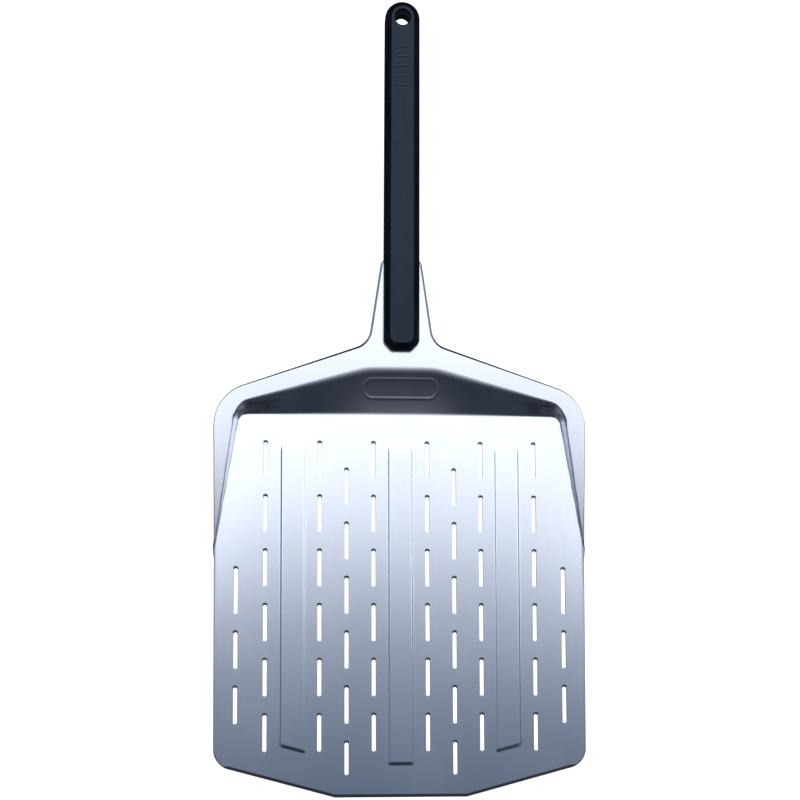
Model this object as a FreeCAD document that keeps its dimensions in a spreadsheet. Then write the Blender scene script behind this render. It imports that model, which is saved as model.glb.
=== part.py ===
# A perforated pizza peel: a pressed aluminium blade whose tang is clamped between the two moulded
# halves of a handle. All sizes are in millimetres.
#
# The model lies on its flat underside. +X is to the right, +Y runs from the front edge to the handle
# and +Z is up, on the side that carries the food. The origin is the middle of the bottom of the whole.
import FreeCAD, Part
import math
import os

import Sketcher

# Every driving size: its name in the sheet, its value and what it measures.
SIZES = (
    ("overall_length", 747.0, "front edge to the tip of the handle, seen from above"),
    ("sheet_gauge", 2.0, "thickness of the aluminium sheet"),
    ("front_half_flat", 62.0, "half of the straight front edge"),
    ("front_half_width", 175.5, "half of the width at the front corners"),
    ("front_corner_y", 30.4, "front corners, from the front edge"),
    ("front_corner_radius", 19.0, "rounding of the front corners"),
    ("rear_half_width", 177.0, "half of the width at the shoulders"),
    ("shoulder_y", 377.8, "where the sides meet the shoulders"),
    ("shoulder_radius", 40.5, "rounding of the shoulders"),
    ("neck_root_half", 31.1, "half of the width where the neck starts"),
    ("neck_root_y", 428.0, "where the shoulders meet the neck"),
    ("neck_radius", 19.0, "inner rounding between shoulder and neck"),
    ("neck_top_half", 19.1, "half of the width at the top of the neck"),
    ("neck_top_y", 506.0, "top of the neck, beside the handle"),
    ("neck_top_radius", 4.0, "rounding of the top of the neck"),
    ("tang_half_width", 9.0, "half of the width of the tang inside the handle"),
    ("tang_end_y", 636.0, "end of the tang"),
    ("front_bevel_width", 3.0, "width of the bevel along the front edges"),
    ("front_bevel_depth", 1.2, "depth of the bevel along the front edges"),
    ("bend_y", 223.5, "where the rim starts to rise from the floor"),
    ("rim_slope", 5.0, "angle of the rim, neck and handle to the floor, in degrees"),
    ("floor_rear_y", 363.3, "rear edge of the flat floor"),
    ("floor_rear_half", 153.2, "half of the width of the floor at its rear edge"),
    ("floor_front_half", 182.5, "half of the width of the floor where the pressing starts"),
    ("pressing_start_y", 193.5, "where the pressing tool starts, in front of the bend"),
    ("riser_half_flat", 33.0, "half of the straight middle stretch of the riser"),
    ("riser_middle_run", 2.52, "how far the middle of the riser runs back for each mm it rises"),
    ("riser_end_run", 0.40, "the same at the ends of the riser"),
    ("side_wall_run", 0.35, "the same, outwards, along the side walls"),
    ("press_height", 30.0, "height of the pressing tool"),
    ("wall_offset", 1.2, "how far the underside of a wall stands behind its face"),
    ("rib_spacing", 102.0, "middle of a side rib from the middle of the blade"),
    ("rib_half_width", 11.9, "half of the width of a rib"),
    ("rib_height", 1.2, "how far a rib stands above the floor"),
    ("rib_wall", 1.6, "thickness of a rib's wall, seen from above"),
    ("rib_rear_y", 336.0, "rear end of every rib"),
    ("side_rib_front_y", 44.7, "front end of a side rib, at its middle"),
    ("middle_rib_front_y", 30.2, "front end of the middle rib"),
    ("front_slant", 0.268, "slope of the slanted front edges and of the side ribs' front ends"),
    ("slot_width", 3.8, "width of a slot"),
    ("slot_length", 35.0, "length of a slot"),
    ("slot_pitch_y", 51.7, "from one slot to the next in a column"),
    ("slot_pitch_x", 25.6, "spacing of the columns of slots"),
    ("slot_rear_y", 336.4, "rear end of the rearmost slots"),
    ("outer_column_x", 155.5, "the outermost columns"),
    ("outer_slot_rear_y", 215.9, "rear end of the rearmost slot in an outermost column"),
    ("outer_slot_length", 44.0, "length of the rearmost slot in an outermost column"),
    ("last_slot_length", 31.0, "length of the short slots nearest the front edge"),
    ("grip_root_y", 420.0, "the handle's front end, from the front edge"),
    ("grip_root_half", 17.0, "half of the handle's width at the blade"),
    ("grip_tip_half", 16.3, "half of the handle's width at its tip"),
    ("grip_corner_x", 7.5, "the cut-off corners of the handle's front end, across"),
    ("grip_corner_y", 8.0, "the cut-off corners of the handle's front end, along"),
    ("grip_half_depth", 12.0, "handle's front face from the face of the sheet"),
    ("grip_bevel", 6.0, "bevel round the handle's front and back faces"),
    ("parting_depth", 1.0, "where the two halves meet, below the face of the sheet"),
    ("recess_gap", 0.2, "room round the tang in the handle"),
    ("grip_roof", 3.0, "thickness of the handle's wall over the hollows inside it"),
    ("hollow_half_width", 9.5, "half of the width of the hollows in the handle"),
    ("boss_half_length", 8.0, "solid stretch on each side of a screw"),
    ("hang_hole_radius", 7.2, "hole in the tip of the handle"),
    ("hang_hole_bevel", 0.8, "bevel of the rim of the hole"),
    ("hang_hole_back", 16.5, "middle of the hole from the tip of the handle"),
    ("first_screw_y", 24.0, "first screw from the handle's front end"),
    ("screw_pitch", 60.0, "from one screw to the next"),
    ("screw_radius", 2.0, "radius of the screw thread"),
    ("screw_length", 14.0, "length of the screw under its head"),
    ("head_radius", 3.5, "radius of the screw head"),
    ("head_height", 2.6, "height of the screw head"),
    ("hex_radius", 1.44, "corner radius of the hexagon socket"),
    ("hex_depth", 1.5, "depth of the hexagon socket"),
    ("head_sink", 0.6, "how far the head lies below the handle's back"),
    ("head_gap", 0.3, "room round the screw head"),
    ("screw_gap", 0.2, "room round the screw in the handle and the tang"),
    ("insert_radius", 2.8, "outside radius of a threaded insert"),
    ("insert_length", 6.0, "length of a threaded insert"),
    ("insert_start", 1.0, "lower end of an insert above the face of the sheet"),
    ("insert_bore_gap", 0.05, "room between the screw and the insert"),
    ("mark_half_width", 6.0, "half of the width of the raised bars near the tip"),
    ("mark_bar", 3.0, "length of a raised bar along the handle"),
    ("mark_pitch", 9.0, "from one raised bar to the next"),
    ("mark_back", 42.0, "first raised bar from the tip of the handle"),
    ("mark_height", 0.4, "how far a raised bar stands above the handle"),
    ("mark_root", 0.1, "how far a raised bar reaches into the handle"),
    ("tip_flat_half", 0.1, "half of the short flat between the two roundings of the tip"),
    ("tool_margin", 50.0, "how far the cutting shapes reach beyond the material"),
)
SCREWS = 5
MARK_BARS = 5
MAIN_ROWS = 6
MAIN_COLUMNS = (-5, -3, -1, 1, 3, 5)
OFFSET_ROWS = 5
OFFSET_COLUMNS = (-2, 2)
OUTER_ROWS = 2
# The first full slot of an outermost column, in pitches from the rearmost row.
OUTER_START = 3.5
# How close, in mm, an edge must be to a corner or a face to be taken as the one meant.
NEAR_CORNER = 0.5
SAME_HEIGHT = 0.01

document = FreeCAD.newDocument("pizza_peel")
sheet = document.addObject("Spreadsheet::Sheet", "Sizes")


def fill_sheet():
    """Write every driving size into the sheet: its meaning, its value and its name."""
    for row, (alias, value, meaning) in enumerate(SIZES, start=1):
        sheet.set(f"A{row}", meaning)
        sheet.set(f"B{row}", str(value))
        sheet.setAlias(f"B{row}", alias)
    document.recompute()


def size(formula):
    """Turn names of sizes into an expression on the sheet: '$name' becomes 'Sizes.name'."""
    return formula.replace("$", "Sizes.")


def value(formula):
    """Work out such a formula now, as a plain number."""
    result = sheet.evalExpression(size(formula))
    return float(getattr(result, "Value", result))


TILT = "($rim_slope * 1deg)"
# The handle's length along its own slope. The lower edge of its tip reaches furthest.
GRIP_OVERHANG = f"(($grip_half_depth - $grip_bevel) * sin{TILT})"
GRIP_LENGTH = f"(($overall_length - $grip_root_y - {GRIP_OVERHANG}) / cos{TILT})"
# From the handle's front end to the top of the neck and the end of the tang, along the slope.
NECK_REACH = f"(($neck_top_y - $grip_root_y) / cos{TILT})"
TANG_REACH = f"(($tang_end_y - $grip_root_y) / cos{TILT})"
# The seat of the screw heads in the handle's back, above the face of the sheet.
HEAD_SEAT = "($head_sink + $head_height - $grip_half_depth)"


def bind(thing, **formulas):
    """Bind properties of an object to formulas on the sheet."""
    for name, formula in formulas.items():
        thing.setExpression(name, size(formula))


def plane_of(body, role="XY_Plane"):
    """One of a body's own origin planes."""
    return next(plane for plane in body.Origin.OriginFeatures if plane.Role == role)


def new_sketch(body, name, lift="0", role="XY_Plane"):
    """An empty sketch in a body, on one of its origin planes, lifted off it."""
    sketch = body.newObject("Sketcher::SketchObject", name)
    sketch.AttachmentSupport = [(plane_of(body, role), "")]
    sketch.MapMode = "FlatFace"
    sketch.setExpression("AttachmentOffset.Base.z", size(f"({lift}) * 1mm"))
    return sketch


def fix_point(sketch, geometry, which, x, y):
    """Bind one point of a sketch to two formulas, both measured from the sketch's origin."""
    for kind, formula in (("DistanceX", x), ("DistanceY", y)):
        number = sketch.addConstraint(
            Sketcher.Constraint(kind, -1, 1, geometry, which, value(formula)))
        sketch.setExpression(f"Constraints[{number}]", size(f"({formula}) * 1mm"))


def add_polygon(sketch, corners):
    """Add a closed outline of straight lines, each corner bound to two formulas."""
    points = [FreeCAD.Vector(value(x), value(y), 0) for x, y in corners]
    first = sketch.GeometryCount
    for start, end in zip(points, points[1:] + points[:1]):
        sketch.addGeometry(Part.LineSegment(start, end))
    for number, (x, y) in enumerate(corners):
        line = first + number
        following = first + (number + 1) % len(corners)
        sketch.addConstraint(Sketcher.Constraint("Coincident", line, 2, following, 1))
        fix_point(sketch, line, 1, x, y)


def add_circle(sketch, x, y, radius):
    """Add a circle whose centre and radius are bound to formulas."""
    centre = FreeCAD.Vector(value(x), value(y), 0)
    number = sketch.addGeometry(Part.Circle(centre, FreeCAD.Vector(0, 0, 1), value(radius)))
    fix_point(sketch, number, 3, x, y)
    constraint = sketch.addConstraint(Sketcher.Constraint("Radius", number, value(radius)))
    sketch.setExpression(f"Constraints[{constraint}]", size(f"({radius}) * 1mm"))


def add_slot(sketch, x, rear_y, length):
    """Add a slot along Y: two half circles joined by two lines, all bound to formulas."""
    radius = value("$slot_width / 2")
    middle = value(x)
    rear = value(f"{rear_y} - $slot_width / 2")
    front = value(f"{rear_y} - {length} + $slot_width / 2")
    up = FreeCAD.Vector(0, 0, 1)
    rear_circle = Part.Circle(FreeCAD.Vector(middle, rear, 0), up, radius)
    front_circle = Part.Circle(FreeCAD.Vector(middle, front, 0), up, radius)
    left_front = FreeCAD.Vector(middle - radius, front, 0)
    left_rear = FreeCAD.Vector(middle - radius, rear, 0)
    right_front = FreeCAD.Vector(middle + radius, front, 0)
    right_rear = FreeCAD.Vector(middle + radius, rear, 0)
    first = sketch.addGeometry(Part.ArcOfCircle(rear_circle, 0, math.pi))
    sketch.addGeometry(Part.LineSegment(left_rear, left_front))
    sketch.addGeometry(Part.ArcOfCircle(front_circle, math.pi, 2 * math.pi))
    sketch.addGeometry(Part.LineSegment(right_front, right_rear))
    for line, point, arc, end in ((1, 1, 0, 2), (1, 2, 2, 1), (3, 1, 2, 2), (3, 2, 0, 1)):
        sketch.addConstraint(
            Sketcher.Constraint("Tangent", first + arc, end, first + line, point))
    fix_point(sketch, first, 3, x, f"{rear_y} - $slot_width / 2")
    fix_point(sketch, first + 2, 3, x, f"{rear_y} - {length} + $slot_width / 2")
    number = sketch.addConstraint(Sketcher.Constraint("Radius", first, radius))
    sketch.setExpression(f"Constraints[{number}]", size("$slot_width / 2 * 1mm"))


def mirrored(half):
    """A closed outline from its right half, given from the front to the rear."""
    return half + [(f"-({x})", y) for x, y in reversed(half)]


def add_pad(body, name, sketch, length, reverse=False):
    """Raise a sketch into a solid."""
    pad = body.newObject("PartDesign::Pad", name)
    pad.Profile = sketch
    pad.Reversed = reverse
    bind(pad, Length=f"({length}) * 1mm")
    document.recompute()


def add_pocket(body, name, sketch, depth, upwards=False, both_ways=False):
    """Cut a sketch out of a body, up, down or both ways, and make sure that it cuts something."""
    before = body.Shape.Volume
    pocket = body.newObject("PartDesign::Pocket", name)
    pocket.Profile = sketch
    pocket.Reversed = upwards
    pocket.Midplane = both_ways
    bind(pocket, Length=f"({depth}) * 1mm")
    document.recompute()
    if not body.Shape.Volume < before:
        raise RuntimeError(f"{name} cuts nothing")
    return pocket


def repeat_along_y(body, name, feature, step, count):
    """Repeat a feature towards the front edge."""
    pattern = body.newObject("PartDesign::LinearPattern", name)
    pattern.Originals = [feature]
    axis = next(line for line in body.Origin.OriginFeatures if line.Role == "Y_Axis")
    pattern.Direction = (axis, [""])
    pattern.Reversed = True
    pattern.Occurrences = count
    bind(pattern, Length=f"({step}) * {count - 1} * 1mm")
    body.Tip = pattern
    document.recompute()


def upright_edges(shape, corners):
    """Names of the vertical edges that stand at the given corners."""
    names = []
    for number, edge in enumerate(shape.Edges, start=1):
        ends = [vertex.Point for vertex in edge.Vertexes]
        if len(ends) != 2 or abs(ends[0].z - ends[1].z) < NEAR_CORNER:
            continue
        for x, y in corners:
            if all(math.hypot(end.x - x, end.y - y) < NEAR_CORNER for end in ends):
                names.append(f"Edge{number}")
    return names


def round_uprights(body, name, corners, radius):
    """Round the vertical edges of a body at corners given by formulas, on both sides of X = 0."""
    places = [(side * value(x), value(y)) for x, y in corners for side in (-1, 1)]
    fillet = body.newObject("PartDesign::Fillet", name)
    previous = fillet.BaseFeature
    fillet.Base = (previous, upright_edges(previous.Shape, places))
    bind(fillet, Radius=f"({radius}) * 1mm")
    document.recompute()


def stand_on_floor(thing):
    """Move an object from the front edge's frame to the frame of the whole."""
    bind(thing, **{"Placement.Base.y": "-$overall_length / 2 * 1mm"})


def stand_on_grip(thing, along="0", above="0"):
    """Put an object in the handle's frame: the handle's front end on the face of the sheet."""
    thing.Placement = FreeCAD.Placement(
        FreeCAD.Vector(0, 0, 0), FreeCAD.Rotation(FreeCAD.Vector(1, 0, 0), value("$rim_slope")))
    rise = f"$sheet_gauge + ($grip_root_y - $bend_y) * tan{TILT}"
    bind(thing, **{
        "Placement.Rotation.Angle": "$rim_slope * 1deg",
        "Placement.Base.y": f"($grip_root_y - $overall_length / 2"
                            f" + ({along}) * cos{TILT} - ({above}) * sin{TILT}) * 1mm",
        "Placement.Base.z": f"({rise} + ({along}) * sin{TILT} + ({above}) * cos{TILT}) * 1mm",
    })


def screw_place(number):
    """How far a screw is along the handle."""
    return f"($first_screw_y + {number} * $screw_pitch)"


# ---------------------------------------------------------------- the blade

def blade_outline():
    """The blade's outline as an upright prism, with its corners rounded."""
    body = document.addObject("PartDesign::Body", "BladeOutline")
    sketch = new_sketch(body, "BladeOutlineSketch", lift="-$tool_margin")
    add_polygon(sketch, mirrored([
        ("$front_half_flat", "0"),
        ("$front_half_width", "$front_corner_y"),
        ("$rear_half_width", "$shoulder_y"),
        ("$neck_root_half", "$neck_root_y"),
        ("$neck_top_half", "$neck_top_y"),
        ("$tang_half_width", "$neck_top_y"),
        ("$tang_half_width", "$tang_end_y"),
    ]))
    add_pad(body, "BladeOutlinePad", sketch, "3 * $tool_margin")
    round_uprights(body, "FrontCorners", [("$front_half_width", "$front_corner_y")],
                   "$front_corner_radius")
    round_uprights(body, "Shoulders", [("$rear_half_width", "$shoulder_y")], "$shoulder_radius")
    round_uprights(body, "NeckRoots", [("$neck_root_half", "$neck_root_y")], "$neck_radius")
    round_uprights(body, "NeckTops", [("$neck_top_half", "$neck_top_y"),
                                      ("$tang_half_width", "$tang_end_y")], "$neck_top_radius")
    for side in (-1, 0, 1):
        bevel_front_edge(body, side)
    return body


def bevel_front_edge(body, side):
    """Slope the prism back above the left slant, the straight front edge or the right slant."""
    name = "FrontBevel" + ("Left", "Middle", "Right")[side + 1]
    sketch = new_sketch(body, name + "Sketch", lift=f"{side} * $front_half_flat", role="YZ_Plane")
    upright = FreeCAD.Vector(0, 1, 0)
    slant = f"{side} * atan2($front_corner_y; $front_half_width - $front_half_flat)"
    sketch.AttachmentOffset = FreeCAD.Placement(
        sketch.AttachmentOffset.Base, FreeCAD.Rotation(upright, value(slant)))
    if side:
        bind(sketch, **{"AttachmentOffset.Rotation.Angle": slant})
    slope = "($front_bevel_depth / $front_bevel_width)"
    edge = "($sheet_gauge - $front_bevel_depth)"
    top = "(3 * $tool_margin)"
    add_polygon(sketch, [
        ("-$tool_margin", f"{edge} - $tool_margin * {slope}"),
        (f"({top} - {edge}) / {slope}", top),
        ("-$tool_margin", top),
    ])
    add_pocket(body, name, sketch, "2 * $overall_length", both_ways=True)


def pressing_tool(name, lift, offset):
    """The space above the floor, the riser and the side walls, as a loft between two outlines."""
    rear = f"($floor_rear_y + {offset})"
    side = f"({offset} + $side_wall_run * $press_height)"
    low = [
        (f"$floor_front_half + {offset}", "$pressing_start_y"),
        (f"$floor_rear_half + {offset}", rear),
        ("$riser_half_flat", rear),
    ]
    high = [
        (f"$floor_front_half + {side}", "$pressing_start_y"),
        (f"$floor_rear_half + {side}", f"{rear} + $riser_end_run * $press_height"),
        ("$riser_half_flat", f"{rear} + $riser_middle_run * $press_height"),
    ]
    sections = []
    for part, corners, height in (("Low", low, lift), ("High", high, f"{lift} + $press_height")):
        sketch = document.addObject("Sketcher::SketchObject", name + part)
        add_polygon(sketch, mirrored(corners))
        bind(sketch, **{"Placement.Base.z": f"({height}) * 1mm"})
        sections.append(sketch)
    tool = document.addObject("Part::Loft", name)
    tool.Sections = sections
    tool.Solid = True
    tool.Ruled = True
    return tool


def under_sheet(name, lift):
    """Everything below one face of the sheet before pressing: the floor and the sloping rim."""
    body = document.addObject("PartDesign::Body", name)
    sketch = new_sketch(body, name + "Profile", lift="-$overall_length / 2", role="YZ_Plane")
    far = "($overall_length + $tool_margin)"
    add_polygon(sketch, [
        ("-$tool_margin", "-$tool_margin"),
        (far, "-$tool_margin"),
        (far, f"{lift} + ({far} - $bend_y) * tan{TILT}"),
        ("$bend_y", lift),
        ("-$tool_margin", lift),
    ])
    add_pad(body, name + "Pad", sketch, "$overall_length")
    return body


def cut(name, base, tool):
    """One object with another cut away."""
    result = document.addObject("Part::Cut", name)
    result.Base = base
    result.Tool = tool
    return result


def pressed_sheet(outline):
    """The bent and pressed sheet inside the outline: what lies between its two faces."""
    upper = cut("UpperSide", under_sheet("UnderFace", "$sheet_gauge"),
                pressing_tool("FaceTool", "$sheet_gauge", "0"))
    lower = cut("LowerSide", under_sheet("UnderBack", "0"),
                pressing_tool("BackTool", "0", "$wall_offset"))
    between = cut("BetweenFaces", upper, lower)
    pressed = document.addObject("Part::Common", "PressedSheet")
    pressed.Base = between
    pressed.Tool = outline
    document.recompute()
    return pressed


def rib_outline(middle, inset):
    """Corners of one rib; the front end of a side rib is parallel to the slanted front edge."""
    half = f"($rib_half_width - {inset})"
    rear = f"$rib_rear_y - {inset}"
    if middle == 0:
        left_front = right_front = f"$middle_rib_front_y + {inset}"
    else:
        left_front = f"$side_rib_front_y - {middle} * $front_slant * {half} + {inset}"
        right_front = f"$side_rib_front_y + {middle} * $front_slant * {half} + {inset}"
    left = f"{middle} * $rib_spacing - {half}"
    right = f"{middle} * $rib_spacing + {half}"
    return [(left, left_front), (right, right_front), (right, rear), (left, rear)]


def press_ribs(body):
    """Raise three ribs from the floor, each with its hollow underneath."""
    raised = new_sketch(body, "RibSketch")
    hollow = new_sketch(body, "RibHollowSketch")
    for middle in (-1, 0, 1):
        add_polygon(raised, rib_outline(middle, "0"))
        add_polygon(hollow, rib_outline(middle, "$rib_wall"))
    add_pad(body, "Ribs", raised, "$sheet_gauge + $rib_height")
    add_pocket(body, "RibHollows", hollow, "$rib_height", upwards=True)


def cut_slot_row(body, name, columns, rear_y, length):
    """Cut one row of slots through the floor."""
    sketch = new_sketch(body, name + "Sketch")
    for x in columns:
        add_slot(sketch, x, rear_y, length)
    return add_pocket(body, name, sketch, "$sheet_gauge", upwards=True)


def cut_slots(body):
    """Cut every slot: the main columns, the offset columns between them and the outermost ones."""
    main = [f"{column} * $slot_pitch_x" for column in MAIN_COLUMNS]
    row = cut_slot_row(body, "MainRow", main, "$slot_rear_y", "$slot_length")
    repeat_along_y(body, "MainRows", row, "$slot_pitch_y", MAIN_ROWS)
    offset = [f"{column} * $slot_pitch_x" for column in OFFSET_COLUMNS]
    offset_y = "($slot_rear_y - $slot_pitch_y / 2)"
    row = cut_slot_row(body, "OffsetRow", offset, offset_y, "$slot_length")
    repeat_along_y(body, "OffsetRows", row, "$slot_pitch_y", OFFSET_ROWS)
    cut_slot_row(body, "LastRow", offset, f"({offset_y} - {OFFSET_ROWS} * $slot_pitch_y)",
                 "$last_slot_length")
    outer = ["-$outer_column_x", "$outer_column_x"]
    cut_slot_row(body, "OuterRearRow", outer, "$outer_slot_rear_y", "$outer_slot_length")
    outer_y = f"($slot_rear_y - {OUTER_START} * $slot_pitch_y)"
    row = cut_slot_row(body, "OuterRow", outer, outer_y, "$slot_length")
    repeat_along_y(body, "OuterRows", row, "$slot_pitch_y", OUTER_ROWS)


def screw_holes_in_tang():
    """Cylinders that drill the neck and the tang for the screws that pass through them."""
    drills = []
    for number in range(SCREWS):
        if value(screw_place(number)) > value(TANG_REACH):
            continue
        drill = document.addObject("Part::Cylinder", f"TangDrill{number + 1}")
        bind(drill, Radius="($screw_radius + $screw_gap) * 1mm", Height="$sheet_gauge * 4 * 1mm")
        stand_on_grip(drill, screw_place(number), "-$sheet_gauge * 2")
        drills.append(drill)
    together = document.addObject("Part::MultiFuse", "TangDrills")
    together.Shapes = drills
    return together


def make_blade():
    """The blade: one sheet of aluminium with its rim, riser, ribs, slots, neck and tang."""
    pressed = pressed_sheet(blade_outline())
    body = document.addObject("PartDesign::Body", "BladeBody")
    body.BaseFeature = pressed
    document.recompute()
    press_ribs(body)
    cut_slots(body)
    stand_on_floor(body)
    blade = cut("Blade", body, screw_holes_in_tang())
    blade.Label = "blade"
    return blade


# ---------------------------------------------------------------- the handle

def grip_prism(body, lift, length, reverse):
    """One half of the handle as a plain solid between the parting plane and its outer face."""
    sketch = new_sketch(body, body.Name + "Outline", lift=lift)
    tip = ("$grip_tip_half", GRIP_LENGTH)
    add_polygon(sketch, mirrored([
        ("$grip_root_half - $grip_corner_x", "0"),
        ("$grip_root_half", "$grip_corner_y"),
        tip,
    ]))
    add_pad(body, body.Name + "Pad", sketch, length, reverse)
    round_uprights(body, body.Name + "Tip", [tip], "$grip_tip_half - $tip_flat_half")


def lies_at(box, height):
    """Whether a flat box lies at a height."""
    return abs(box.ZMin - height) < SAME_HEIGHT and abs(box.ZMax - height) < SAME_HEIGHT


def bevel_outer_face(body, lift):
    """Bevel the handle all round the face that lies at the given height."""
    height = value(lift)
    bevel = body.newObject("PartDesign::Chamfer", body.Name + "Bevel")
    previous = bevel.BaseFeature
    faces = [f"Face{number}" for number, face in enumerate(previous.Shape.Faces, start=1)
             if lies_at(face.BoundBox, height)]
    bevel.Base = (previous, faces)
    bind(bevel, Size="$grip_bevel * 1mm")
    document.recompute()


def tang_recess(body, depth, upwards):
    """The shallow recess that takes half of the thickness of the neck and the tang."""
    sketch = new_sketch(body, body.Name + "RecessSketch", lift="-$parting_depth")
    add_polygon(sketch, mirrored([
        ("$grip_root_half + $tool_margin", "-$tool_margin"),
        ("$grip_root_half + $tool_margin", f"{NECK_REACH} + $recess_gap"),
        ("$tang_half_width + $recess_gap", f"{NECK_REACH} + $recess_gap"),
        ("$tang_half_width + $recess_gap", f"{TANG_REACH} + $recess_gap"),
    ]))
    add_pocket(body, body.Name + "Recess", sketch, depth, upwards)


def hollows(body, depth, upwards):
    """The hollows between the screws, which keep the moulded walls even."""
    sketch = new_sketch(body, body.Name + "HollowSketch", lift="-$parting_depth")
    for number in range(SCREWS - 1):
        near = f"{screw_place(number)} + $boss_half_length"
        far = f"{screw_place(number + 1)} - $boss_half_length"
        add_polygon(sketch, [("-$hollow_half_width", near), ("$hollow_half_width", near),
                             ("$hollow_half_width", far), ("-$hollow_half_width", far)])
    add_pocket(body, body.Name + "Hollows", sketch, depth, upwards)


def hang_hole(body, outer, upwards):
    """The round hole in the tip, with a small bevel where it meets the outer face."""
    place = f"({GRIP_LENGTH} - $hang_hole_back)"
    sketch = new_sketch(body, body.Name + "HoleSketch", lift="-$parting_depth")
    add_circle(sketch, "0", place, "$hang_hole_radius")
    add_pocket(body, body.Name + "Hole", sketch, "$grip_half_depth * 2", upwards)
    bevel = body.newObject("PartDesign::Chamfer", body.Name + "HoleBevel")
    previous = bevel.BaseFeature
    across = 2 * value("$hang_hole_radius")
    names = [f"Edge{number}" for number, edge in enumerate(previous.Shape.Edges, start=1)
             if lies_at(edge.BoundBox, value(outer))
             and abs(edge.BoundBox.XLength - across) < SAME_HEIGHT]
    bevel.Base = (previous, names)
    bind(bevel, Size="$hang_hole_bevel * 1mm")
    document.recompute()


def raise_mark(body):
    """A few plain raised bars across the front face near the tip."""
    sketch = new_sketch(body, "MarkSketch", lift="$grip_half_depth - $mark_root")
    for number in range(MARK_BARS):
        far = f"({GRIP_LENGTH} - $mark_back - {number} * $mark_pitch)"
        near = f"({far} - $mark_bar)"
        add_polygon(sketch, [("-$mark_half_width", near), ("$mark_half_width", near),
                             ("$mark_half_width", far), ("-$mark_half_width", far)])
    add_pad(body, "Mark", sketch, "$mark_height + $mark_root")


def drill_each_screw(body, name, lift, radius, depth, upwards):
    """The same round hole at every screw."""
    sketch = new_sketch(body, name + "Sketch", lift=lift)
    for number in range(SCREWS):
        add_circle(sketch, "0", screw_place(number), radius)
    add_pocket(body, name, sketch, depth, upwards)


def make_handle_front():
    """The front half of the handle, with blind bores for the threaded inserts."""
    body = document.addObject("PartDesign::Body", "HandleFront")
    grip_prism(body, "-$parting_depth", "$grip_half_depth + $parting_depth", reverse=False)
    bevel_outer_face(body, "$grip_half_depth")
    tang_recess(body, "$parting_depth", upwards=True)
    hollows(body, "$grip_half_depth + $parting_depth - $grip_roof", upwards=True)
    hang_hole(body, "$grip_half_depth", upwards=True)
    drill_each_screw(body, "InsertBores", "-$parting_depth", "$insert_radius",
                     "$parting_depth + $insert_start + $insert_length", upwards=True)
    raise_mark(body)
    body.Label = "handle_front"
    stand_on_grip(body)
    return body


def make_handle_back():
    """The back half of the handle, with a stepped hole for every screw."""
    body = document.addObject("PartDesign::Body", "HandleBack")
    grip_prism(body, "-$parting_depth", "$grip_half_depth - $parting_depth", reverse=True)
    bevel_outer_face(body, "-$grip_half_depth")
    tang_recess(body, "$sheet_gauge - $parting_depth", upwards=False)
    hollows(body, "$grip_half_depth - $parting_depth - $grip_roof", upwards=False)
    hang_hole(body, "-$grip_half_depth", upwards=False)
    drill_each_screw(body, "ScrewHoles", "-$parting_depth", "$screw_radius + $screw_gap",
                     "$grip_half_depth", upwards=False)
    drill_each_screw(body, "HeadSeats", "-$grip_half_depth", "$head_radius + $head_gap",
                     "$head_sink + $head_height", upwards=True)
    body.Label = "handle_back"
    stand_on_grip(body)
    return body


# ---------------------------------------------------------------- the fastenings

def make_screw(number):
    """One pan-head socket screw, which enters from the handle's back."""
    body = document.addObject("PartDesign::Body", f"ClampScrew{number + 1}")
    head = new_sketch(body, body.Name + "HeadSketch")
    add_circle(head, "0", "0", "$head_radius")
    add_pad(body, body.Name + "Head", head, "$head_height", reverse=True)
    shank = new_sketch(body, body.Name + "ShankSketch")
    add_circle(shank, "0", "0", "$screw_radius")
    add_pad(body, body.Name + "Shank", shank, "$screw_length")
    socket = new_sketch(body, body.Name + "SocketSketch", lift="-$head_height")
    corners = [(f"$hex_radius * cos({angle}deg)", f"$hex_radius * sin({angle}deg)")
               for angle in range(0, 360, 60)]
    add_polygon(socket, corners)
    add_pocket(body, body.Name + "Socket", socket, "$hex_depth", upwards=True)
    body.Label = f"clamp_screw_{number + 1}"
    stand_on_grip(body, screw_place(number), HEAD_SEAT)
    return body


def make_insert(number):
    """One brass insert in the front half, which a screw is driven into."""
    body = document.addObject("PartDesign::Body", f"ThreadedInsert{number + 1}")
    outside = new_sketch(body, body.Name + "OutsideSketch")
    add_circle(outside, "0", "0", "$insert_radius")
    add_circle(outside, "0", "0", "$screw_radius + $insert_bore_gap")
    add_pad(body, body.Name + "Outside", outside, "$insert_length")
    body.Label = f"threaded_insert_{number + 1}"
    stand_on_grip(body, screw_place(number), "$insert_start")
    return body


def check_document():
    """Stop if any object of the document failed."""
    for thing in document.Objects:
        if "Invalid" in thing.State or "Error" in thing.State:
            raise RuntimeError(f"{thing.Name} failed: {thing.State}")


def export(parts):
    """Check every sub-part's shape and write it to its own file."""
    os.makedirs("parts", exist_ok=True)
    for part in parts:
        shape = part.Shape
        if shape.isNull() or not shape.isValid() or len(shape.Solids) != 1:
            raise RuntimeError(f"{part.Label} has a bad shape: {len(shape.Solids)} solids")
    for part in parts:
        part.Shape.exportStep(f"parts/{part.Label}.step")
        box = part.Shape.BoundBox
        print(f"{part.Label:20s} volume {part.Shape.Volume:10.0f}  y {box.YMin:7.1f} {box.YMax:7.1f}"
              f"  z {box.ZMin:6.1f} {box.ZMax:6.1f}")


fill_sheet()
parts = [make_blade(), make_handle_front(), make_handle_back()]
parts += [make_screw(number) for number in range(SCREWS)]
parts += [make_insert(number) for number in range(SCREWS)]
document.recompute()
check_document()
export(parts)
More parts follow.
